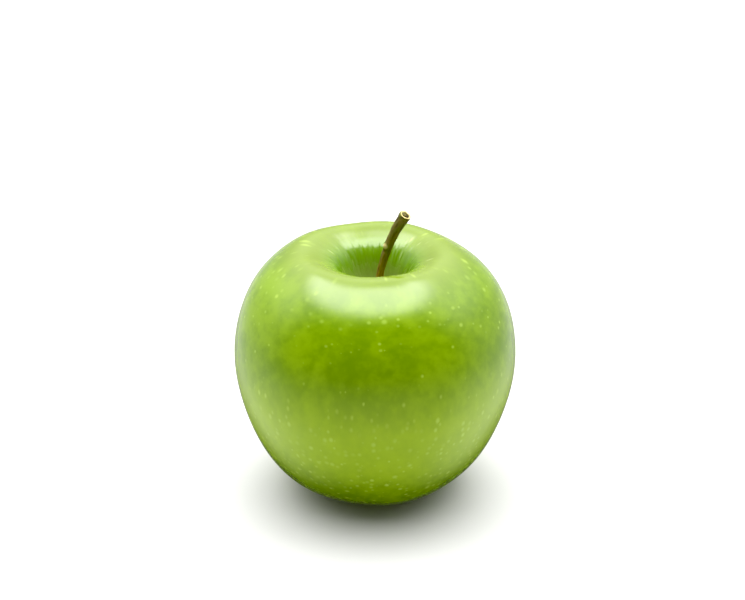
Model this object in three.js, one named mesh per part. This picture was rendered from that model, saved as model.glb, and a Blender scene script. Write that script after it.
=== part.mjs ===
// A green apple standing on its calyx end: the fruit, its stem, the five dried sepals and the dried stamens.
// Millimetres, +Z up. The origin is on the table under the middle of the fruit, and -Y is its front.
import * as THREE from "three";
import { NURBSCurve } from "three/addons/curves/NURBSCurve.js";

// Driving dimensions of the fruit
const WIDTH = 80; // across the belly, left to right
const CROWN_HEIGHT = 72; // table to the crest round the stem cavity
const CAVITY_FLOOR = 55.5; // height of the bottom of the stem cavity
const BASIN_FLOOR = 9; // height of the roof of the calyx basin
const REST_DEPTH = 0.45; // how far the round underside is flattened where it lies on the table
const CLEARANCE = 0.3; // between a piece and the pit it stands in

// Driving dimensions of the stem
const STEM_FOOT_RADIUS = 1.6;
const STEM_PIT_DEPTH = 2;
const STEM_TIP_RADIUS = 1.7;

// Driving dimensions of the calyx
const CALYX_RADIUS = 4.5; // of the ring that carries the sepals
const CALYX_PIT_DEPTH = 1.8;
const TUFT_RADIUS = 2; // of the cushion that carries the stamens

// Fineness of the meshes
const FRUIT_SIDES = 60;
const STEPS_PER_SPAN = 4;
const STEM_SIDES = 12;
const STEM_STEPS = 24;

const HALF_WIDTH = WIDTH / 2;
const CALYX_PIT_RADIUS = CALYX_RADIUS + CLEARANCE;
const STEM_PIT_RADIUS = STEM_FOOT_RADIUS + CLEARANCE;

// Control points of the fruit's half section, radius and height, from the calyx pit down to the table,
// out round the belly, over the crest and down to the stem's pit.
const SECTION = [
  [CALYX_PIT_RADIUS, BASIN_FLOOR],
  [6.5, BASIN_FLOOR],
  [8.5, 3.5],
  [12, -1 - REST_DEPTH],
  [19.5, 1],
  [27, 6],
  [HALF_WIDTH - 6, 15],
  [HALF_WIDTH - 0.5, 30.5],
  [HALF_WIDTH + 0.6, 45],
  [HALF_WIDTH - 3, CROWN_HEIGHT - 14],
  [HALF_WIDTH - 9, CROWN_HEIGHT - 5.6],
  [20.9, CROWN_HEIGHT + 1.5],
  [14.7, CROWN_HEIGHT - 1.7],
  [10.8, CROWN_HEIGHT - 3.3],
  [9.2, CROWN_HEIGHT - 7],
  [5.8, CAVITY_FLOOR + 2],
  [3.4, CAVITY_FLOOR],
  [STEM_PIT_RADIUS, CAVITY_FLOOR],
];

// The fruit isn't quite round. Each list gives places along the section, from 0 at the calyx to 1 at the stem,
// and the size of the effect there: a lobe's depth is a share of the radius, and its swell on the crest is in mm.
const LOBES = 5;
const LOBE_DEPTH = [[0, 0], [0.14, 0.02], [0.33, 0.006], [0.48, 0.003], [0.69, 0.007], [1, 0]];
const CROWN_SWELL = [[0.52, 0], [0.68, 0.2], [0.82, 0]];
const OVAL = 0.01; // share by which the front and back stand in
const CAVITY_SHIFT = 1; // mm that the bottom of the stem cavity lies to the right
const SIDE_DRIFT = [[0.48, 0], [0.69, -0.3], [0.85, 0.1], [1, CAVITY_SHIFT]]; // mm to the right

// Middle line of the stem, from its foot in the pit to its cut end, up to the right and a little to the front.
const STEM_PATH = [
  [CAVITY_SHIFT, 0, CAVITY_FLOOR - STEM_PIT_DEPTH + CLEARANCE],
  [1.1, 0, 59],
  [1.4, 0, 64],
  [2.4, 0, 68.6],
  [3.5, -0.1, 72.2],
  [4.8, -0.3, 75.8],
  [6.2, -0.7, 79],
  [7.4, -1.3, 81.3],
  [8.4, -1.9, 83.2],
];
const STEM_RADIUS = [
  [0, STEM_FOOT_RADIUS],
  [0.1, 1.35],
  [0.3, 1.1],
  [0.41, 1.1],
  [0.6, 1.3],
  [0.75, 1.35],
  [0.93, 1.6],
  [1, STEM_TIP_RADIUS],
];
// The bud scar is a low bump: its place along the stem, half its length there, the way it faces and its height.
const SCAR = { place: 0.64, length: 0.035, facing: new THREE.Vector3(-0.75, -0.65, 0.1), rise: 0.35 };

// The five dried sepals are one crown of lobes, and the stamens another inside it. A wall hangs from a base along a
// path, given as distance from the middle and height, and is cut back between its lobes.
const CALYX_ROOF = BASIN_FLOOR + CALYX_PIT_DEPTH - CLEARANCE;
const SEPALS = {
  lobes: 5,
  sidesPerLobe: 10,
  turn: 0.35, // radians from +X to the first lobe
  lengths: [1, 0.93, 0.98, 0.9, 0.95],
  valley: 0.14, // how far the wall reaches between the lobes, as a share of the path
  bluntness: 1.25,
  thickness: 0.65,
  steps: 6,
  path: [
    [3.6, BASIN_FLOOR - 0.3],
    [3.5, 7.2],
    [2.7, 5.6],
    [1.95, 4.5],
    [2.3, 3.2],
    [3.2, 2.7],
  ],
  base: [
    [CALYX_RADIUS, BASIN_FLOOR],
    [CALYX_RADIUS, CALYX_ROOF],
    [TUFT_RADIUS + CLEARANCE, CALYX_ROOF],
    [TUFT_RADIUS + CLEARANCE, BASIN_FLOOR],
  ],
};
const STAMENS = {
  lobes: 6,
  sidesPerLobe: 4,
  turn: 0.1,
  lengths: [1, 0.8, 0.92, 0.74, 0.88, 0.7],
  valley: 0.08,
  bluntness: 2,
  thickness: 0.6,
  steps: 3,
  path: [
    [1.3, BASIN_FLOOR],
    [1.05, 7.8],
    [1.25, 6.4],
  ],
  base: [
    [TUFT_RADIUS, BASIN_FLOOR + 0.2],
    [TUFT_RADIUS, CALYX_ROOF],
  ],
  style: [
    [0.3, 7.6],
    [0.45, BASIN_FLOOR + 0.2],
  ],
};

// The value at a place along a list of [place, value] pairs, eased from one pair to the next.
function keyed(place, keys) {
  let value = keys[0][1];
  for (let i = 1; i < keys.length; i++) {
    const [from, low] = keys[i - 1];
    const [to, high] = keys[i];
    if (place > from) value = THREE.MathUtils.lerp(low, high, THREE.MathUtils.smoothstep(place, from, to));
  }
  return value;
}

// A closed mesh over a stack of rings that turn anticlockwise. A looped stack's last ring joins its first, and any
// other stack has a fan over each end.
function skin(rings, looped = false) {
  const around = rings[0].length;
  const points = rings.flat();
  const faces = [];
  for (let row = 0; row + (looped ? 0 : 1) < rings.length; row++) {
    for (let i = 0; i < around; i++) {
      const next = (i + 1) % around;
      const low = row * around;
      const high = ((row + 1) % rings.length) * around;
      faces.push(low + i, low + next, high + next);
      faces.push(low + i, high + next, high + i);
    }
  }
  if (!looped) {
    const last = (rings.length - 1) * around;
    const first = points.push(middle(rings[0])) - 1;
    const final = points.push(middle(rings[rings.length - 1])) - 1;
    for (let i = 0; i < around; i++) {
      const next = (i + 1) % around;
      faces.push(first, next, i);
      faces.push(final, last + i, last + next);
    }
  }
  const geometry = new THREE.BufferGeometry().setFromPoints(points);
  geometry.setIndex(faces);
  geometry.computeVertexNormals();
  return geometry;
}

function middle(points) {
  const sum = new THREE.Vector3();
  for (const point of points) sum.add(point);
  return sum.divideScalar(points.length);
}

// Rings along a curve, perpendicular to it, of the radius that radiusAt gives for a place and a way outwards.
function sweep(curve, steps, sides, radiusAt) {
  const frames = curve.computeFrenetFrames(steps);
  const rings = [];
  for (let step = 0; step <= steps; step++) {
    const place = step / steps;
    const centre = curve.getPointAt(place);
    const ring = [];
    for (let i = 0; i < sides; i++) {
      const turn = (i / sides) * 2 * Math.PI;
      const outward = frames.normals[step].clone().multiplyScalar(Math.cos(turn));
      outward.addScaledVector(frames.binormals[step], Math.sin(turn));
      ring.push(centre.clone().addScaledVector(outward, radiusAt(place, outward)));
    }
    rings.push(ring);
  }
  return rings;
}

// The half section as a row of points with their places along it.
function sectionPoints() {
  const degree = 3;
  const spans = SECTION.length - degree;
  const knots = [];
  for (let i = 0; i < SECTION.length + degree + 1; i++) knots.push(THREE.MathUtils.clamp(i - degree, 0, spans));
  const controls = SECTION.map(([radius, height]) => new THREE.Vector4(radius, height, 0, 1));
  const curve = new NURBSCurve(degree, knots, controls);
  const points = [];
  const steps = spans * STEPS_PER_SPAN;
  for (let step = 0; step <= steps; step++) {
    const place = step / steps;
    const { x: radius, y: height } = curve.getPoint(place);
    points.push({ place, radius, height });
  }
  return points;
}

function fruitRing({ place, radius, height }) {
  const ring = [];
  for (let i = 0; i < FRUIT_SIDES; i++) {
    const turn = (i / FRUIT_SIDES) * 2 * Math.PI;
    const lobe = Math.cos(LOBES * turn);
    const reach = radius * (1 + keyed(place, LOBE_DEPTH) * lobe - OVAL * Math.sin(turn) ** 2);
    ring.push(
      new THREE.Vector3(
        reach * Math.cos(turn) + keyed(place, SIDE_DRIFT),
        reach * Math.sin(turn),
        Math.max(0, height + keyed(place, CROWN_SWELL) * lobe),
      ),
    );
  }
  return ring;
}

// The whole flesh and skin: one solid, with a pit at each end for the calyx and the stem.
function fruit() {
  const section = sectionPoints();
  const start = section[0];
  const end = section[section.length - 1];
  const calyxPit = { ...start, height: start.height + CALYX_PIT_DEPTH };
  const stemPit = { ...end, height: end.height - STEM_PIT_DEPTH };
  return skin([calyxPit, ...section, stemPit].map(fruitRing));
}

// The stem, thick at the foot and the tip, with its bud scar and a dished cut end.
function stem() {
  const curve = new THREE.CatmullRomCurve3(STEM_PATH.map((point) => new THREE.Vector3(...point)));
  const rings = sweep(curve, STEM_STEPS, STEM_SIDES, (place, outward) => {
    const along = Math.exp(-(((place - SCAR.place) / SCAR.length) ** 2));
    const facing = Math.max(0, outward.dot(SCAR.facing)) ** 2;
    return keyed(place, STEM_RADIUS) + SCAR.rise * along * facing;
  });
  const tip = curve.getPointAt(1);
  const onward = curve.getTangentAt(1);
  const endRing = rings[rings.length - 1];
  const cutRing = (share, ahead) =>
    endRing.map((point) => tip.clone().lerp(point, share).addScaledVector(onward, ahead));
  rings.push(cutRing(0.82, 0.12), cutRing(0.3, -0.15));
  return skin(rings);
}

// How far the wall of a crown reaches at a turn, as a share of its path.
function lobeLength(crown, turn) {
  const pitch = (2 * Math.PI) / crown.lobes;
  const lobe = Math.round(turn / pitch);
  const nearness = 1 - Math.abs(turn - lobe * pitch) / (pitch / 2);
  const length = crown.lengths[lobe % crown.lobes];
  return THREE.MathUtils.lerp(crown.valley, length, Math.min(1, crown.bluntness * nearness));
}

function crownRing(crown, pointAt) {
  const sides = crown.lobes * crown.sidesPerLobe;
  const ring = [];
  for (let i = 0; i < sides; i++) {
    const turn = (i / sides) * 2 * Math.PI;
    const [reach, height] = pointAt(turn);
    const facing = turn + crown.turn;
    ring.push(new THREE.Vector3(reach * Math.cos(facing), reach * Math.sin(facing), height));
  }
  return ring;
}

// The rings of one side of a crown's wall, inside (-1) or outside (1), from its base to its edge.
function wallRings(crown, side) {
  const path = new THREE.SplineCurve(crown.path.map((point) => new THREE.Vector2(...point)));
  const rings = [];
  for (let step = 0; step <= crown.steps; step++) {
    rings.push(
      crownRing(crown, (turn) => {
        const place = (step / crown.steps) * lobeLength(crown, turn);
        const { x, y } = path.getPointAt(place);
        const onward = path.getTangentAt(place);
        const half = (side * crown.thickness) / 2;
        return [x - onward.y * half, y + onward.x * half];
      }),
    );
  }
  return rings;
}

// A crown of lobes: the middle style if it has one, the wall's inside, its outside, and the base above it.
function crownSkin(crown) {
  const turned = (outline) => outline.map((point) => crownRing(crown, () => point));
  const style = turned(crown.style ?? []);
  const rings = [...style, ...wallRings(crown, -1), ...wallRings(crown, 1).reverse(), ...turned(crown.base)];
  return skin(rings, !crown.style);
}

function piece(name, geometry, color, roughness) {
  const mesh = new THREE.Mesh(geometry, new THREE.MeshStandardMaterial({ color, roughness, metalness: 0 }));
  mesh.name = name;
  return mesh;
}

const apple = new THREE.Group();
apple.add(piece("fruit", fruit(), 0x7fae24, 0.28));
apple.add(piece("stem", stem(), 0x6b5a2c, 0.7));
apple.add(piece("sepals", crownSkin(SEPALS), 0x6a5a34, 0.85));
apple.add(piece("stamens", crownSkin(STAMENS), 0x3a2c1c, 0.9));

export default apple;
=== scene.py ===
"""The looks of a green apple: its waxy peel, woody stem, dried sepals and dried stamens, on a white table."""

import math
import random

import bpy
import numpy as np
from bpy.props import FloatProperty, FloatVectorProperty, IntProperty, PointerProperty
from mathutils import Euler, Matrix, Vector, noise


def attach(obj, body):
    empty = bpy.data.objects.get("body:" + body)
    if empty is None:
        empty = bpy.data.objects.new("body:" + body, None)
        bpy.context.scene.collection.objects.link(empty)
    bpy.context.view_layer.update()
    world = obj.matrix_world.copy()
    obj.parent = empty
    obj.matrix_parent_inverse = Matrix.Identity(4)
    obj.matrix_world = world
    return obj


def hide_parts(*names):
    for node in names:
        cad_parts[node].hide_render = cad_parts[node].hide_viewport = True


bl_info = {
    "name": "Green Apple",
    "version": (1, 0, 0),
    "blender": (4, 5, 0),
    "location": "View3D > Sidebar > Green Apple",
    "description": "Builds a green apple piece by piece, with its stage",
    "category": "Object",
}

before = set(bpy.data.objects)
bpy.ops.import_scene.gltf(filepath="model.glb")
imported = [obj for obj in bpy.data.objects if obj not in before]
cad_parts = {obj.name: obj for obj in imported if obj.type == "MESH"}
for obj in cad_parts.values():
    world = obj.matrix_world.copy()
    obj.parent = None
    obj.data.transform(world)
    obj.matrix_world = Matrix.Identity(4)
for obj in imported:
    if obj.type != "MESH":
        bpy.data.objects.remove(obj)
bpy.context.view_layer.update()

MM = 0.001
BODY = "root"
FULL_TURN = 2 * math.pi

# The fruit's half section, in millimetres: the solid's driving sizes and control points, but closed at both
# ends, because the peel has no pits for the stem and the calyx.
WIDTH = 80
HALF_WIDTH = WIDTH / 2
CROWN_HEIGHT = 72
CAVITY_FLOOR = 55.5
BASIN_FLOOR = 9
REST_DEPTH = 0.45
SECTION = [
    (0, BASIN_FLOOR),
    (6.5, BASIN_FLOOR),
    (8.5, 3.5),
    (12, -1 - REST_DEPTH),
    (19.5, 1),
    (27, 6),
    (HALF_WIDTH - 6, 15),
    (HALF_WIDTH - 0.5, 30.5),
    (HALF_WIDTH + 0.6, 45),
    (HALF_WIDTH - 3, CROWN_HEIGHT - 14),
    (HALF_WIDTH - 9, CROWN_HEIGHT - 5.6),
    (20.9, CROWN_HEIGHT + 1.5),
    (14.7, CROWN_HEIGHT - 1.7),
    (10.8, CROWN_HEIGHT - 3.3),
    (9.2, CROWN_HEIGHT - 7),
    (5.8, CAVITY_FLOOR + 2),
    (3.4, CAVITY_FLOOR),
    (0, CAVITY_FLOOR),
]
CUBIC = 4

# How the fruit departs from a round one, at places from 0 at the calyx to 1 at the stem.
LOBES = 5
LOBE_DEPTH = [(0, 0), (0.14, 0.02), (0.33, 0.006), (0.48, 0.003), (0.69, 0.007), (1, 0)]
CROWN_SWELL = [(0.52, 0), (0.68, 0.2), (0.82, 0)]
OVAL = 0.01
CAVITY_SHIFT = 1
SIDE_DRIFT = [(0.48, 0), (0.69, -0.3), (0.85, 0.1), (1, CAVITY_SHIFT)]

# Fine form of the peel, in millimetres: broad dents, and ribs that run down into the stem cavity.
SKIN_INSET = 0.03
DENT_DEPTH = 0.16
DENT_WIDTH = 15
RIB_FINENESS = 7
RIB_DEPTH = [(0.66, 0), (0.74, 0.05), (0.81, 0.32), (0.88, 0.16), (1, 0)]

# Widths of the peel's marks, in millimetres.
CLOUD_WIDTH = 14
MOTTLE_WIDTH = 3.2
SPOT_WIDTH = 1.9
STREAK_WIDTH = 1.6
RIPPLE_WIDTH = 3.5

# How the peel's pattern is drawn out: it keeps its width in the cavity, where it runs long and thin.
PATTERN_RADIUS = 16
PATTERN_TURNS = [(0.42, 0), (0.7, 1)]
PATTERN_SPEED = [(0.36, 1), (0.48, 0.5), (0.6, 0.3), (1, 0.25)]

# Middle line of the stem and its radius, in millimetres, as on the solid.
STEM_PATH = [
    (CAVITY_SHIFT, 0, 53.8),
    (1.1, 0, 59),
    (1.4, 0, 64),
    (2.4, 0, 68.6),
    (3.5, -0.1, 72.2),
    (4.8, -0.3, 75.8),
    (6.2, -0.7, 79),
    (7.4, -1.3, 81.3),
    (8.4, -1.9, 83.2),
]
STEM_RADIUS = [
    (0, 1.6),
    (0.1, 1.35),
    (0.3, 1.1),
    (0.41, 1.1),
    (0.6, 1.3),
    (0.75, 1.35),
    (0.93, 1.6),
    (1, 1.7),
]
STEM_INSET = 0.05
STEM_SIDES = 48

# Fine form of the bark, in millimetres and in shares of the stem's length. The pit is just below the scar.
BARK_RADIUS = 1.3
FIBRE_RISE = 0.06
KNOT_RISE = 0.08
RAGGED_FROM = 0.9
RAGGED_RISE = 0.22
SCAR_PLACE = 0.64
SCAR_LENGTH = 0.03
SCAR_FACING = (-0.75, -0.65, 0.1)
SCAR_RISE = 0.55
PIT_PLACE = SCAR_PLACE - 0.055
PIT_DEPTH = 0.25

# The cut end, ring by ring inwards: the share of the rim's radius, and how far it stands ahead in mm.
CUT_RINGS = [(0.93, 0.08), (0.84, 0.02), (0.38, -0.04), (0.3, -0.2), (0.2, -0.8)]

# A sepal's path, as distance from the middle and height, its form, and the ring that carries them, in mm.
SEPAL_PATH = [(3.7, 9.6), (3.7, 7.4), (2.9, 5.7), (2.1, 4.6), (2.3, 3.5), (3.1, 2.9)]
SEPAL_TURN = 0.35
SEPAL_LENGTHS = (1, 0.93, 0.98, 0.9, 0.95)
SEPAL_HALF_WIDTH = 1.75
SEPAL_TIP_HALF_WIDTH = 0.08
SEPAL_CURL = 0.3
SEPAL_WAVE = 0.25
SEPAL_WALL = 0.35
RING_RADIUS = 3.4
RING_THICKNESS = 0.8
RING_UNEVENNESS = 0.15

# The stamens, in millimetres, and how each head swells ring by ring: the swelling and the drop.
STAMEN_COUNT = 15
STAMEN_SEED = 5
STAMEN_RADIUS = 0.14
STAMEN_LENGTH = 3.2
STAMEN_HEAD = [(2.4, 0.25), (1.1, 0.35), (0.35, 0.2)]

# The stage, in metres: the table's width, how far the softbox stands ahead, and what the camera faces.
FLOOR_SIZE = 6
SOFTBOX_AHEAD = 0.07
CAMERA_TARGET = Vector((-0.0006, 0, 0.0567))


def eased(share):
    share = np.clip(share, 0, 1)
    return share * share * (3 - 2 * share)


def keyed(place, keys):
    """The value at places along a list of (place, value) pairs, eased from one pair to the next."""
    value = np.full(np.shape(place), float(keys[0][1]))
    for (start, low), (end, high) in zip(keys, keys[1:]):
        step = low + (high - low) * eased((place - start) / (end - start))
        value = np.where(place >= start, step, value)
    return value


def noise_at(points, seed):
    """Smooth noise from about -1 to 1 at each point."""
    offset = Vector((seed * 7.3, seed * 3.1, seed * 5.7))
    return np.array([noise.noise(Vector(point) + offset) for point in points])


def deselect_all():
    bpy.ops.object.select_all(action="DESELECT")


def mesh_points(mesh):
    """The mesh's points in millimetres."""
    flat = np.empty(len(mesh.vertices) * 3)
    mesh.vertices.foreach_get("co", flat)
    return flat.reshape(-1, 3) / MM


def set_mesh_points(mesh, points):
    mesh.vertices.foreach_set("co", (points * MM).ravel())
    mesh.update()


def read_attribute(mesh, name):
    values = np.empty(len(mesh.vertices))
    mesh.attributes[name].data.foreach_get("value", values)
    return values


def write_attribute(mesh, name, values):
    attribute = mesh.attributes.get(name) or mesh.attributes.new(name, "FLOAT", "POINT")
    attribute.data.foreach_set("value", np.asarray(values, dtype=float))


def write_vectors(mesh, name, vectors):
    attribute = mesh.attributes.new(name, "FLOAT_VECTOR", "POINT")
    attribute.data.foreach_set("vector", np.asarray(vectors, dtype=float).ravel())


def place_on_frame(piece, name, node, material):
    """Names a finished piece, dresses it and puts it in the place of its solid."""
    piece.name = name
    piece.data.name = name
    piece.data.materials.clear()
    piece.data.materials.append(material)
    for polygon in piece.data.polygons:
        polygon.use_smooth = True
    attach(piece, BODY)
    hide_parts(node)


class Signal:
    """A node's output on which Python arithmetic adds Math nodes."""

    def __init__(self, sheet, socket):
        self.sheet = sheet
        self.socket = socket

    def maths(self, operation, *values):
        return self.sheet.node("ShaderNodeMath", {"operation": operation}, dict(enumerate(values)))

    def __add__(self, other):
        return self.maths("ADD", self, other)

    def __sub__(self, other):
        return self.maths("SUBTRACT", self, other)

    def __rsub__(self, other):
        return self.maths("SUBTRACT", other, self)

    def __mul__(self, other):
        return self.maths("MULTIPLY", self, other)

    def __truediv__(self, other):
        return self.maths("DIVIDE", self, other)

    def __pow__(self, other):
        return self.maths("POWER", self, other)

    __radd__ = __add__
    __rmul__ = __mul__

    def between(self, start, end):
        """0 at start, 1 at end, eased, and held beyond them."""
        settings = {"interpolation_type": "SMOOTHSTEP"}
        return self.sheet.node("ShaderNodeMapRange", settings, {0: self, 1: start, 2: end})


class Sheet:
    """The nodes of one material or of the world."""

    def __init__(self, tree):
        self.tree = tree
        tree.nodes.clear()

    def node(self, kind, settings=None, inputs=None, output=0):
        """Adds a node with its settings, then its sockets' values or links, and gives one of its outputs."""
        node = self.tree.nodes.new(kind)
        for name, value in (settings or {}).items():
            setattr(node, name, value)
        for name, value in (inputs or {}).items():
            if isinstance(value, Signal):
                self.tree.links.new(value.socket, node.inputs[name])
            else:
                node.inputs[name].default_value = value
        return Signal(self, node.outputs[output]) if node.outputs else node

    def mix(self, factor, low, high):
        """One colour turning into another."""
        return self.node("ShaderNodeMix", {"data_type": "RGBA"}, {0: factor, 6: low, 7: high}, output=2)

    def attribute(self, name, output="Fac"):
        return self.node("ShaderNodeAttribute", {"attribute_name": name}, output=output)

    def split(self, kind, value):
        """The three parts of a vector or of a colour."""
        node = self.node(kind, None, {0: value}).socket.node
        return [Signal(self, part) for part in node.outputs]

    def scaled(self, vector, factors):
        settings = {"operation": "MULTIPLY"}
        return self.node("ShaderNodeVectorMath", settings, {0: vector, 1: factors})

    def noise(self, vector, width, detail=2, roughness=0.5):
        """Cloudy noise whose blotches are about one width across."""
        inputs = {"Vector": vector, "Scale": 1 / width, "Detail": detail, "Roughness": roughness}
        return self.node("ShaderNodeTexNoise", None, inputs)

    def cells(self, vector, width, output="Distance"):
        return self.node("ShaderNodeTexVoronoi", None, {"Vector": vector, "Scale": 1 / width}, output)

    def bump(self, height, distance):
        return self.node("ShaderNodeBump", None, {"Height": height, "Distance": distance})

    def finish(self, inputs):
        """The surface shader, and the output that it goes to."""
        surface = self.node("ShaderNodeBsdfPrincipled", None, inputs)
        self.node("ShaderNodeOutputMaterial", None, {"Surface": surface})


def new_material(name):
    material = bpy.data.materials.new(name)
    material.use_nodes = True
    return material, Sheet(material.node_tree)


def rgba(colour):
    return (*colour, 1.0)


class PeelSettings(bpy.types.PropertyGroup):
    steps_around: IntProperty(name="Steps Around", description="Faces round the fruit", default=288, min=48)
    steps_along: IntProperty(
        name="Steps Along", description="Points on each span of the section", default=12, min=4)
    deep_green: FloatVectorProperty(
        name="Deep Green", description="Darker green of the mottled peel", subtype="COLOR", size=3,
        default=(0.118, 0.222, 0.003))
    bright_green: FloatVectorProperty(
        name="Bright Green", description="Paler, yellower green of the mottled peel", subtype="COLOR", size=3,
        default=(0.188, 0.312, 0.006))
    # Paler green towards the calyx: partly the peel's own paler colour there, partly painted light bounced up
    # from the table.
    pale_and_floor_lit_green: FloatVectorProperty(
        name="Pale Green", description="Paler green towards the calyx", subtype="COLOR", size=3,
        default=(0.42, 0.6, 0.03))
    crest_green: FloatVectorProperty(
        name="Crest Green", description="Yellower green round the stem cavity", subtype="COLOR", size=3,
        default=(0.19, 0.24, 0.012))
    spot_colour: FloatVectorProperty(
        name="Spot Colour", description="Colour of the pale spots", subtype="COLOR", size=3,
        default=(0.58, 0.76, 0.12))
    streak_colour: FloatVectorProperty(
        name="Streak Colour", description="Colour of the streaks into the stem cavity", subtype="COLOR",
        size=3, default=(0.5, 0.6, 0.2))
    wall_colour: FloatVectorProperty(
        name="Wall Colour", description="Deeper green of the cavity's wall", subtype="COLOR", size=3,
        default=(0.095, 0.25, 0.006))
    cavity_colour: FloatVectorProperty(
        name="Cavity Colour", description="Grey-olive round the foot of the stem", subtype="COLOR", size=3,
        default=(0.17, 0.2, 0.05))
    roughness: FloatProperty(
        name="Roughness", description="Roughness of the waxy peel", subtype="FACTOR", default=0.2, min=0,
        max=1)


class StalkSettings(bpy.types.PropertyGroup):
    bark_colour: FloatVectorProperty(
        name="Bark Colour", description="Colour of the stem's bark", subtype="COLOR", size=3,
        default=(0.13, 0.1, 0.006))
    crack_colour: FloatVectorProperty(
        name="Crack Colour", description="Colour of the grooves along the bark", subtype="COLOR", size=3,
        default=(0.035, 0.018, 0.004))
    green_colour: FloatVectorProperty(
        name="Green Colour", description="Green that still shows in the bark", subtype="COLOR", size=3,
        default=(0.1, 0.13, 0.004))
    warm_colour: FloatVectorProperty(
        name="Warm Colour", description="Warmer brown of the lower stem", subtype="COLOR", size=3,
        default=(0.24, 0.15, 0.006))
    wood_colour: FloatVectorProperty(
        name="Wood Colour", description="Pale wood of the cut end and the scar", subtype="COLOR", size=3,
        default=(0.8, 0.66, 0.27))


class CalyxSettings(bpy.types.PropertyGroup):
    sepal_colour: FloatVectorProperty(
        name="Sepal Colour", description="Colour of the dried sepals", subtype="COLOR", size=3,
        default=(0.14, 0.105, 0.05))
    down_colour: FloatVectorProperty(
        name="Down Colour", description="Pale down on the sepals", subtype="COLOR", size=3,
        default=(0.36, 0.33, 0.22))
    stamen_colour: FloatVectorProperty(
        name="Stamen Colour", description="Colour of the dried stamens", subtype="COLOR", size=3,
        default=(0.06, 0.035, 0.016))


class StageSettings(bpy.types.PropertyGroup):
    camera_distance: FloatProperty(
        name="Camera Distance", description="From the camera to its target", default=0.4934, unit="LENGTH")
    camera_height: FloatProperty(
        name="Camera Elevation", description="How far the camera looks down", default=math.radians(25),
        subtype="ANGLE")
    focal_length: FloatProperty(name="Focal Length", description="Camera lens, in millimetres", default=85)
    softbox_height: FloatProperty(
        name="Softbox Height", description="From the table to the softbox", default=0.85, unit="LENGTH")
    softbox_size: FloatVectorProperty(
        name="Softbox Size", description="Width and depth of the softbox", size=2, default=(1.2, 0.9),
        unit="LENGTH")
    softbox_radiance: FloatProperty(
        name="Softbox Radiance", description="Brightness of the softbox", default=2.8)
    fill_radiance: FloatProperty(
        name="Fill Radiance", description="Even light from the whole room", default=0.2)
    lamp_radiance: FloatProperty(
        name="Lamp Radiance", description="Brightness of the lamp that the peel mirrors", default=12.3)


def peel_material(settings):
    material, sheet = new_material("waxy_peel")
    grain = sheet.attribute("grain", "Vector")
    place = sheet.attribute("place")

    clouds = sheet.noise(grain, CLOUD_WIDTH, detail=1)
    mottle = sheet.noise(grain, MOTTLE_WIDTH, detail=3, roughness=0.6)
    low = 1 - place.between(0.4, 0.5)
    high = place.between(0.46, 0.62)
    crest = place.between(0.59, 0.68)
    tone = (mottle * 0.6 + clouds * 0.4 + high * 0.05 - crest * 0.2).between(0.35, 0.68)
    colour = sheet.mix(tone, rgba(settings.deep_green), rgba(settings.bright_green))
    colour = sheet.mix(crest * 0.5, colour, rgba(settings.crest_green))
    # Paler lower body: partly the peel's own paler colour, partly painted light bounced up from the table.
    pale_and_floor_lit_belly = low * place.between(0.3, 0.38)
    colour = sheet.mix(pale_and_floor_lit_belly * 0.5, colour, rgba(settings.pale_and_floor_lit_green))

    inside = place.between(0.66, 0.76)
    wall = place.between(0.71, 0.83)
    colour = sheet.mix(wall * 0.6, colour, rgba(settings.wall_colour))
    streaks = spots(sheet, grain, STREAK_WIDTH, 0.42, 0.7) * inside
    colour = sheet.mix(streaks * 0.55, colour, rgba(settings.streak_colour))

    share = low * 0.6 + high * 0.7 + 0.15
    radius = low * 0.34 + high * 0.16 + 0.38
    spotted = spots(sheet, grain, SPOT_WIDTH, radius, share) * (1 - inside)
    colour = sheet.mix(spotted * (0.36 - high * 0.1), colour, rgba(settings.spot_colour))

    floor = (place + mottle * 0.08).between(0.88, 0.97)
    colour = sheet.mix(floor * 0.75, colour, rgba(settings.cavity_colour))

    ripple = sheet.noise(grain, RIPPLE_WIDTH, detail=2, roughness=0.4)
    sheet.finish({
        "Base Color": colour,
        "Roughness": spotted * 0.05 + floor * 0.3 + settings.roughness,
        "IOR": 1.46,
        "Normal": sheet.bump(ripple, 0.00004),
    })
    return material


def spots(sheet, grain, width, radius, share):
    """Pale spots of many sizes, in a share of the cells: up to 1 in a spot's middle, and 0 between spots."""
    distance = sheet.cells(grain, width) * width
    draws = sheet.cells(grain, width, "Color")
    size, chance, strength = sheet.split("ShaderNodeSeparateColor", draws)
    body = 1 - (distance / ((size * 0.8 + 0.6) * radius)).between(0.2, 1.1)
    return body * (strength * 0.7 + 0.3) * (1 - (chance - share).between(-0.05, 0.05))


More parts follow.
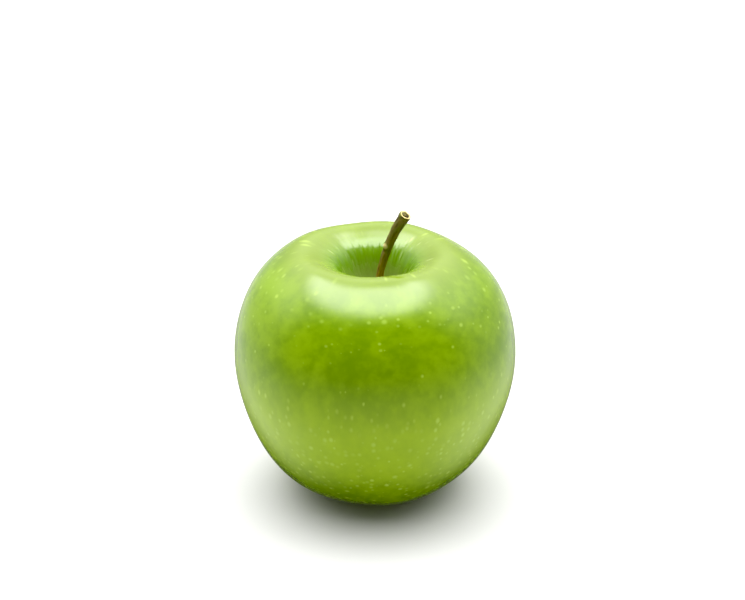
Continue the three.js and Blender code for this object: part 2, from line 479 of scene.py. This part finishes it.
def bark_material(settings):
    material, sheet = new_material("stem_bark")
    grain = sheet.attribute("grain", "Vector")
    along = sheet.attribute("along")
    facing = sheet.attribute("facing")

    fibres = sheet.noise(sheet.scaled(grain, (1, 1, 0.12)), 0.45, detail=4, roughness=0.6)
    cracks = 1 - fibres.between(0.36, 0.5)
    blotch = sheet.noise(grain, 1.8, detail=3).between(0.42, 0.62)
    bark = sheet.mix(blotch * 0.7, rgba(settings.bark_colour), rgba(settings.green_colour))
    bark = sheet.mix(1 - along.between(0.35, 0.62), bark, rgba(settings.warm_colour))
    bark = sheet.mix(cracks * 0.7, bark, rgba(settings.crack_colour))
    bark = sheet.mix(along.between(0.86, 0.97) * cracks, bark, rgba(settings.crack_colour))
    bark = sheet.mix(facing.between(0.3, 0.8) * 0.6, bark, rgba(settings.wood_colour))
    crumbs = sheet.noise(grain, 0.5, detail=3)
    cut = sheet.mix(crumbs.between(0.5, 0.65) * 0.5, rgba(settings.wood_colour), rgba(settings.warm_colour))
    cut = sheet.mix(along.between(1.62, 1.8), cut, rgba(settings.crack_colour))
    colour = sheet.mix((along + crumbs * 0.5).between(1.44, 1.58), bark, cut)
    sheet.finish({
        "Base Color": colour,
        "Roughness": fibres * 0.3 + 0.5,
        "Normal": sheet.bump(fibres, 0.0004),
    })
    return material


def sepal_material(settings):
    material, sheet = new_material("dried_sepal")
    spot = sheet.node("ShaderNodeTexCoord", output="Object")
    down = sheet.noise(spot, 0.0004, detail=4, roughness=0.7)
    blotch = sheet.noise(spot, 0.002, detail=2)
    downy = down.between(0.45, 0.7) * blotch
    colour = sheet.mix(downy, rgba(settings.sepal_colour), rgba(settings.down_colour))
    sheet.finish({
        "Base Color": colour,
        "Roughness": down * 0.2 + 0.75,
        "Normal": sheet.bump(down, 0.0002),
    })
    return material


def stamen_material(settings):
    material, sheet = new_material("dried_stamen")
    spot = sheet.node("ShaderNodeTexCoord", output="Object")
    fibres = sheet.noise(spot, 0.0005, detail=3)
    paler = [2 * part for part in settings.stamen_colour]
    colour = sheet.mix(fibres, rgba(settings.stamen_colour), rgba(paler))
    sheet.finish({
        "Base Color": colour,
        "Roughness": fibres * 0.2 + 0.7,
        "Normal": sheet.bump(fibres, 0.0001),
    })
    return material


def floor_material():
    material, sheet = new_material("white_table")
    spot = sheet.node("ShaderNodeTexCoord", output="Object")
    cloud = sheet.noise(spot, 0.05, detail=2)
    colour = sheet.mix(cloud, rgba((0.585, 0.585, 0.58)), rgba((0.595, 0.595, 0.59)))
    sheet.finish({"Base Color": colour, "Roughness": 0.6, "Specular IOR Level": 0.2})
    return material


def spun_section(steps_along, steps_around):
    """The section's curve, spun into a closed shell, with each point's place along the section."""
    deselect_all()
    bpy.ops.curve.primitive_nurbs_path_add(location=(0, 0, 0))
    curve = bpy.context.object
    spline = curve.data.splines[0]
    spline.points.add(len(SECTION) - len(spline.points))
    for point, (radius, height) in zip(spline.points, SECTION):
        point.co = (radius * MM, 0, height * MM, 1)
    spline.order_u = CUBIC
    spline.use_endpoint_u = True
    spline.resolution_u = steps_along
    bpy.ops.object.convert(target="MESH")
    shell = bpy.context.object
    write_attribute(shell.data, "place", np.linspace(0, 1, len(shell.data.vertices)))
    bpy.ops.object.mode_set(mode="EDIT")
    bpy.ops.mesh.select_all(action="SELECT")
    bpy.ops.mesh.spin(steps=steps_around, angle=FULL_TURN, center=(0, 0, 0), axis=(0, 0, 1))
    bpy.ops.mesh.select_all(action="SELECT")
    bpy.ops.mesh.remove_doubles(threshold=0.001 * MM)
    bpy.ops.mesh.normals_make_consistent(inside=False)
    bpy.ops.object.mode_set(mode="OBJECT")
    return shell


def pattern_grain(place, turn, radius, height):
    """Where each point lies in the peel's pattern: the body as it is, the cavity drawn out long and thin."""
    order = np.argsort(place)
    drawn = keyed(place[order], PATTERN_TURNS)
    rise = np.diff(height[order], prepend=height[order][0])
    run = np.hypot(np.diff(radius[order], prepend=radius[order][0]), rise)
    fresh = np.diff(place[order], prepend=-1) > 0
    step = ((1 - drawn) * rise + drawn * run) * keyed(place[order], PATTERN_SPEED)
    along = np.empty(len(place))
    along[order] = np.cumsum(np.where(fresh, step, 0))
    drawn = keyed(place, PATTERN_TURNS)
    around = radius * (1 - drawn) + PATTERN_RADIUS * drawn
    return np.column_stack([around * np.cos(turn), around * np.sin(turn), along])


def shape_peel(mesh):
    """Turns the round shell into the fruit: lobes, an oval plan, a cavity off the middle, dents and ribs."""
    place = read_attribute(mesh, "place")
    points = mesh_points(mesh)
    turn = np.arctan2(points[:, 1], points[:, 0])
    radius = np.hypot(points[:, 0], points[:, 1])
    height = points[:, 2]
    write_vectors(mesh, "grain", pattern_grain(place, turn, radius, height))

    lobe = np.cos(LOBES * turn)
    reach = radius * (1 + keyed(place, LOBE_DEPTH) * lobe - OVAL * np.sin(turn) ** 2)
    around = np.column_stack([np.cos(turn), np.sin(turn), place * 0.6])
    ribs = noise_at(around * RIB_FINENESS, seed=1) + 0.6 * noise_at(around * RIB_FINENESS * 2.4, seed=7)
    ribs *= keyed(place, RIB_DEPTH)
    shaped = np.column_stack([
        reach * np.cos(turn) + keyed(place, SIDE_DRIFT),
        reach * np.sin(turn),
        height + keyed(place, CROWN_SWELL) * lobe,
    ])
    set_mesh_points(mesh, shaped)
    normals = np.empty(len(shaped) * 3)
    mesh.vertices.foreach_get("normal", normals)
    dents = DENT_DEPTH * (0.5 + 0.5 * np.clip(noise_at(shaped / DENT_WIDTH, seed=2), -1, 1))
    inward = SKIN_INSET + dents + ribs + keyed(place, RIB_DEPTH)
    shaped -= normals.reshape(-1, 3) * inward[:, None]
    shaped[:, 2] = np.maximum(0, shaped[:, 2])
    set_mesh_points(mesh, shaped)


class APPLE_OT_add_peel(bpy.types.Operator):
    """Add the fruit's peel: its section spun round, shaped and dressed"""

    bl_idname = "apple.add_peel"
    bl_label = "Add Peel"

    def execute(self, context):
        settings = context.scene.apple_peel
        shell = spun_section(settings.steps_along, settings.steps_around)
        shape_peel(shell.data)
        place_on_frame(shell, "peel", "fruit", peel_material(settings))
        return {"FINISHED"}


def stem_tube():
    """A closed tube along the stem's middle line."""
    deselect_all()
    bpy.ops.curve.primitive_bezier_curve_add(location=(0, 0, 0))
    curve = bpy.context.object
    spline = curve.data.splines[0]
    spline.bezier_points.add(len(STEM_PATH) - len(spline.bezier_points))
    for point, centre in zip(spline.bezier_points, STEM_PATH):
        point.co = Vector(centre) * MM
        point.handle_left_type = "AUTO"
        point.handle_right_type = "AUTO"
    spline.resolution_u = 20
    curve.data.bevel_depth = MM
    curve.data.bevel_resolution = STEM_SIDES // 2 - 2
    bpy.ops.object.convert(target="MESH")
    bpy.ops.object.mode_set(mode="EDIT")
    bpy.ops.mesh.select_all(action="SELECT")
    bpy.ops.mesh.fill_holes(sides=0)
    bpy.ops.mesh.normals_make_consistent(inside=False)
    bpy.ops.object.mode_set(mode="OBJECT")
    return bpy.context.object


def bark_noise(grain, fineness, seed):
    """Noise over the rings of the stem, finer round it than along it."""
    return noise_at((grain * fineness).reshape(-1, 3), seed).reshape(-1, STEM_SIDES)


def hump(place, centre, reach):
    """1 on the ring at the centre, falling away over the reach to either side."""
    return np.exp(-(((place - centre) / reach) ** 2))[:, None]


def shape_stalk(mesh):
    """Gives each ring of the tube its radius, fibres and scar, and notes each point's place on the bark."""
    rings = mesh_points(mesh).reshape(-1, STEM_SIDES, 3)
    centres = rings.mean(axis=1)
    lengths = np.concatenate([[0], np.cumsum(np.linalg.norm(np.diff(centres, axis=0), axis=1))])
    place = lengths / lengths[-1]
    outward = rings - centres[:, None]
    outward /= np.linalg.norm(outward, axis=2)[:, :, None]
    turn = np.linspace(0, FULL_TURN, STEM_SIDES, endpoint=False)
    grain = np.empty_like(rings)
    grain[:, :, 0] = BARK_RADIUS * np.cos(turn)
    grain[:, :, 1] = BARK_RADIUS * np.sin(turn)
    grain[:, :, 2] = lengths[:, None]
    fibre = bark_noise(grain, (2.2, 2.2, 0.25), seed=3)
    knots = bark_noise(grain, (0.8, 0.8, 0.6), seed=4)
    ragged = bark_noise(grain, (2.5, 2.5, 0.8), seed=8) * eased((place - RAGGED_FROM) / 0.08)[:, None]
    facing = np.clip(outward @ SCAR_FACING, 0, 1) ** 3
    scar = hump(place, SCAR_PLACE, SCAR_LENGTH) * facing
    pit = hump(place, PIT_PLACE, SCAR_LENGTH * 0.6) * facing
    radius = keyed(place, STEM_RADIUS)[:, None] - STEM_INSET
    radius = radius + FIBRE_RISE * fibre + KNOT_RISE * np.clip(knots, -1, 0.5)
    radius += SCAR_RISE * scar - PIT_DEPTH * pit + RAGGED_RISE * np.clip(ragged, -1, 0.4)
    rings = centres[:, None] + outward * radius[:, :, None]
    set_mesh_points(mesh, rings.reshape(-1, 3))
    write_vectors(mesh, "grain", grain.reshape(-1, 3))
    write_attribute(mesh, "along", np.repeat(place, STEM_SIDES))
    write_attribute(mesh, "facing", scar.ravel())


def pick_face(mesh, face):
    """Goes into edit mode with just this face selected."""
    number = face.index
    bpy.ops.object.mode_set(mode="EDIT")
    bpy.ops.mesh.select_mode(type="FACE")
    bpy.ops.mesh.select_all(action="DESELECT")
    bpy.ops.object.mode_set(mode="OBJECT")
    mesh.polygons[number].select = True
    bpy.ops.object.mode_set(mode="EDIT")


def cut_stalk_end(stalk):
    """Insets the upper end into a rim, a pale dished ring and a pith hole."""
    mesh = stalk.data
    ends = [face for face in mesh.polygons if len(face.vertices) == STEM_SIDES]
    pick_face(mesh, max(ends, key=lambda face: face.center.z))
    for _ in CUT_RINGS:
        bpy.ops.mesh.inset(thickness=0.01 * MM, use_even_offset=False)
    bpy.ops.object.mode_set(mode="OBJECT")

    rings = mesh_points(mesh).reshape(-1, STEM_SIDES, 3)
    last, rim = rings[-len(CUT_RINGS) - 2:-len(CUT_RINGS)]
    middle = rim.mean(axis=0)
    ahead = middle - last.mean(axis=0)
    ahead /= np.linalg.norm(ahead)
    for ring, (share, rise) in zip(rings[-len(CUT_RINGS):], CUT_RINGS):
        nearest = np.linalg.norm(ring[:, None] - rim, axis=2).argmin(axis=1)
        ring[:] = middle + (rim[nearest] - middle) * share + ahead * rise
    set_mesh_points(mesh, rings.reshape(-1, 3))
    along = read_attribute(mesh, "along").reshape(-1, STEM_SIDES)
    along[-len(CUT_RINGS):] = 1 + np.arange(1, len(CUT_RINGS) + 1)[:, None] / len(CUT_RINGS)
    write_attribute(mesh, "along", along.ravel())


class APPLE_OT_add_stalk(bpy.types.Operator):
    """Add the stem: a tube along its middle line, ridged, scarred and cut"""

    bl_idname = "apple.add_stalk"
    bl_label = "Add Stalk"

    def execute(self, context):
        stalk = stem_tube()
        shape_stalk(stalk.data)
        cut_stalk_end(stalk)
        place_on_frame(stalk, "stalk", "stem", bark_material(context.scene.apple_stalk))
        return {"FINISHED"}


def path_point(path, share):
    """The point at a share of a path's length."""
    path = np.array(path, dtype=float)
    lengths = np.concatenate([[0], np.cumsum(np.hypot(*np.diff(path, axis=0).T))])
    at = share * lengths[-1]
    return np.array([np.interp(at, lengths, path[:, 0]), np.interp(at, lengths, path[:, 1])])


def add_sepal():
    """One curled sepal: a grid bent along the path, thickened and rounded."""
    deselect_all()
    bpy.ops.mesh.primitive_grid_add(x_subdivisions=8, y_subdivisions=16, size=2, location=(0, 0, 0))
    sepal = bpy.context.object
    points = mesh_points(sepal.data) * MM
    bent = []
    for across, along, _ in points:
        share = (along + 1) / 2
        reach, height = path_point(SEPAL_PATH, share)
        half = SEPAL_HALF_WIDTH * (1 - share) ** 0.7 + SEPAL_TIP_HALF_WIDTH
        curl = SEPAL_CURL * (across * half) ** 2 / 2
        bent.append((reach - curl, across * half, height + SEPAL_WAVE * math.sin(9 * share) * across))
    set_mesh_points(sepal.data, np.array(bent))
    wall = sepal.modifiers.new("wall", "SOLIDIFY")
    wall.thickness = SEPAL_WALL * MM
    wall.offset = 0
    bpy.ops.object.modifier_apply(modifier=wall.name)
    smooth = sepal.modifiers.new("smooth", "SUBSURF")
    smooth.levels = 1
    smooth.render_levels = 1
    bpy.ops.object.modifier_apply(modifier=smooth.name)
    return sepal


def own_copy(piece):
    """A copy with its own mesh."""
    copy = piece.copy()
    copy.data = piece.data.copy()
    bpy.context.collection.objects.link(copy)
    return copy


def turned_copy(piece, turn, scale):
    """A copy turned about the fruit's middle, with its length scaled."""
    copy = own_copy(piece)
    points = mesh_points(copy.data)
    reach = np.hypot(points[:, 0], points[:, 1])
    angle = np.arctan2(points[:, 1], points[:, 0]) + turn
    height = BASIN_FLOOR + (points[:, 2] - BASIN_FLOOR) * scale
    set_mesh_points(copy.data, np.column_stack([reach * np.cos(angle), reach * np.sin(angle), height]))
    return copy


def joined(pieces):
    deselect_all()
    for piece in pieces:
        piece.select_set(True)
    bpy.context.view_layer.objects.active = pieces[0]
    bpy.ops.object.join()
    return pieces[0]


def downy_ring():
    """The ring of dried tissue that carries the sepals."""
    deselect_all()
    bpy.ops.mesh.primitive_torus_add(
        location=(0, 0, (BASIN_FLOOR + 0.35) * MM), major_radius=RING_RADIUS * MM,
        minor_radius=RING_THICKNESS * MM, major_segments=48, minor_segments=12)
    ring = bpy.context.object
    bpy.ops.object.transform_apply(location=True, rotation=False, scale=False)
    points = mesh_points(ring.data)
    points[:, 2] += RING_UNEVENNESS * noise_at(points / 0.9, seed=6)
    set_mesh_points(ring.data, points)
    return ring


class APPLE_OT_add_sepals(bpy.types.Operator):
    """Add the five dried sepals on their ring"""

    bl_idname = "apple.add_sepals"
    bl_label = "Add Sepals"

    def execute(self, context):
        sepal = add_sepal()
        copies = [
            turned_copy(sepal, SEPAL_TURN + FULL_TURN * number / len(SEPAL_LENGTHS), length)
            for number, length in enumerate(SEPAL_LENGTHS)
        ]
        bpy.data.objects.remove(sepal)
        crown = joined([downy_ring(), *copies])
        material = sepal_material(context.scene.apple_calyx)
        place_on_frame(crown, "sepal_crown", "sepals", material)
        return {"FINISHED"}


def add_stamen():
    """One stamen hanging from the calyx: a thin thread with a shrivelled head."""
    deselect_all()
    bpy.ops.mesh.primitive_cylinder_add(
        vertices=8, radius=STAMEN_RADIUS * MM, depth=STAMEN_LENGTH * MM,
        location=(0, 0, (BASIN_FLOOR - 1) * MM))
    stamen = bpy.context.object
    bpy.ops.object.transform_apply(location=True, rotation=False, scale=False)
    pick_face(stamen.data, min(stamen.data.polygons, key=lambda face: face.center.z))
    for swell, drop in STAMEN_HEAD:
        bpy.ops.mesh.extrude_region_move(TRANSFORM_OT_translate={"value": (0, 0, -drop * MM)})
        bpy.ops.transform.resize(value=(swell, swell, 1))
    bpy.ops.object.mode_set(mode="OBJECT")
    return stamen


def leaning_copy(piece, lean, turn, reach, length):
    """A copy that hangs from its own place in the ring, leaning and shortened."""
    copy = own_copy(piece)
    tilt = Euler((lean, 0, turn)).to_matrix()
    root = Vector((reach * math.cos(turn), reach * math.sin(turn), BASIN_FLOOR + 0.4))
    points = []
    for point in mesh_points(copy.data):
        hanging = Vector((point[0], point[1], (point[2] - BASIN_FLOOR) * length))
        points.append(root + tilt @ hanging)
    set_mesh_points(copy.data, np.array(points))
    return copy


class APPLE_OT_add_stamens(bpy.types.Operator):
    """Add the tuft of dried stamens inside the sepals"""

    bl_idname = "apple.add_stamens"
    bl_label = "Add Stamens"

    def execute(self, context):
        draw = random.Random(STAMEN_SEED)
        stamen = add_stamen()
        copies = []
        for number in range(STAMEN_COUNT):
            turn = FULL_TURN * number / STAMEN_COUNT + draw.uniform(-0.2, 0.2)
            copies.append(leaning_copy(
                stamen, draw.uniform(-0.25, 0.25), turn, draw.uniform(0.3, 1.4), draw.uniform(0.6, 0.95)))
        bpy.data.objects.remove(stamen)
        tuft = joined(copies)
        material = stamen_material(context.scene.apple_calyx)
        place_on_frame(tuft, "stamen_tuft", "stamens", material)
        return {"FINISHED"}


def add_floor():
    deselect_all()
    bpy.ops.mesh.primitive_plane_add(size=FLOOR_SIZE, location=(0, 0, 0))
    floor = bpy.context.object
    floor.name = "floor"
    floor.data.materials.append(floor_material())
    floor.visible_glossy = False


def add_softbox(settings):
    """A flat lamp that faces down. The studio round it is what the peel mirrors."""
    deselect_all()
    bpy.ops.object.light_add(type="AREA", location=(0, -SOFTBOX_AHEAD, settings.softbox_height))
    light = bpy.context.object
    light.name = "softbox"
    light.data.shape = "RECTANGLE"
    light.data.size, light.data.size_y = settings.softbox_size
    light.data.energy = settings.softbox_radiance * math.pi * light.data.size * light.data.size_y
    light.visible_camera = False
    light.visible_glossy = False


def set_surround(settings):
    """The studio that the peel mirrors: an oval lamp overhead, a pale room round the back, and the table.

    The ways are parts of a unit vector, so 1 lies straight to a side, to the back or up, and 0 across it.
    """
    world = bpy.data.worlds.new("studio")
    world.use_nodes = True
    bpy.context.scene.world = world
    sheet = Sheet(world.node_tree)
    way = sheet.node("ShaderNodeTexCoord", output="Generated")
    sideways, backward, upward = sheet.split("ShaderNodeSeparateXYZ", way)

    from_lamp = ((sideways / 0.6) ** 2 + ((backward - 0.11) / 0.53) ** 2) ** 0.5
    notch = backward.between(0.1, 0.4) * (1 - (sideways * sideways).between(0.01, 0.12))
    lamp = (1 - from_lamp.between(0.75, 1.12)) * (1 - notch) * upward.between(0, 0.1)
    room = backward.between(-0.4, 0.25) * (upward.between(0.15, 0.75) * 2.3 + 0.7)

    downward = 0 - upward
    shade = (backward * 0.8 + downward).between(0.9, 1.2)
    shade = shade * (downward.between(0.4, 0.65) * 0.2 + 0.77)
    table = (backward.between(-0.65, 0.05) + 0.3) * (1 - shade) * (1 - downward.between(0.65, 1.02))
    below = downward.between(0.03, 0.4)
    around = room * (1 - below) + table * below

    glossy = sheet.node("ShaderNodeLightPath", output="Is Glossy Ray")
    bounced = sheet.node("ShaderNodeLightPath", output="Diffuse Depth")
    seen = sheet.node("ShaderNodeLightPath", output="Is Camera Ray")
    lamp = lamp * glossy * (1 - bounced.between(0, 1))
    mirrored = around * (1 - lamp) + lamp * settings.lamp_radiance
    soft = around * 1.25 + settings.fill_radiance
    strength = (mirrored * glossy + soft * (1 - glossy)) * (1 - seen) + seen
    lit = sheet.node("ShaderNodeBackground", None, {"Color": rgba((1, 1, 1)), "Strength": strength})
    sheet.node("ShaderNodeOutputWorld", None, {"Surface": lit})


def set_camera(settings):
    back = Vector((0, -math.cos(settings.camera_height), math.sin(settings.camera_height)))
    deselect_all()
    bpy.ops.object.camera_add(location=CAMERA_TARGET + back * settings.camera_distance)
    camera = bpy.context.object
    camera.rotation_euler = (-back).to_track_quat("-Z", "Y").to_euler()
    camera.data.lens = settings.focal_length
    camera.data.sensor_width = 36
    camera.data.clip_start = 0.01
    bpy.context.scene.camera = camera


def set_grade(view):
    """A plain view, with the darkest blue taken down a little for a fuller green."""
    view.view_transform = "Standard"
    view.look = "None"
    view.use_curve_mapping = True
    view.curve_mapping.black_level = (0, 0, 0.009)
    view.curve_mapping.update()


class APPLE_OT_set_stage(bpy.types.Operator):
    """Set the white table, the softbox, the surround and the camera"""

    bl_idname = "apple.set_stage"
    bl_label = "Set Stage"

    def execute(self, context):
        settings = context.scene.apple_stage
        add_floor()
        add_softbox(settings)
        set_surround(settings)
        set_camera(settings)
        set_grade(context.scene.view_settings)
        return {"FINISHED"}


class VIEW3D_PT_green_apple(bpy.types.Panel):
    """The steps that build the apple"""

    bl_label = "Green Apple"
    bl_idname = "VIEW3D_PT_green_apple"
    bl_space_type = "VIEW_3D"
    bl_region_type = "UI"
    bl_category = "Green Apple"

    def draw(self, context):
        for step in STEPS:
            self.layout.operator(step.bl_idname)
        for name in SETTINGS:
            group = getattr(context.scene, name)
            for item in type(group).__annotations__:
                self.layout.prop(group, item)


STEPS = (APPLE_OT_add_peel, APPLE_OT_add_stalk, APPLE_OT_add_sepals, APPLE_OT_add_stamens, APPLE_OT_set_stage)
SETTINGS = {
    "apple_peel": PeelSettings,
    "apple_stalk": StalkSettings,
    "apple_calyx": CalyxSettings,
    "apple_stage": StageSettings,
}


def register():
    for item in (*SETTINGS.values(), *STEPS, VIEW3D_PT_green_apple):
        bpy.utils.register_class(item)
    for name, group in SETTINGS.items():
        setattr(bpy.types.Scene, name, PointerProperty(type=group))


def unregister():
    for name in SETTINGS:
        delattr(bpy.types.Scene, name)
    for item in (VIEW3D_PT_green_apple, *reversed(STEPS), *SETTINGS.values()):
        bpy.utils.unregister_class(item)


def main():
    register()
    bpy.ops.apple.add_peel()
    bpy.ops.apple.add_stalk()
    bpy.ops.apple.add_sepals()
    bpy.ops.apple.add_stamens()
    bpy.ops.apple.set_stage()


if __name__ == "__main__":
    main()
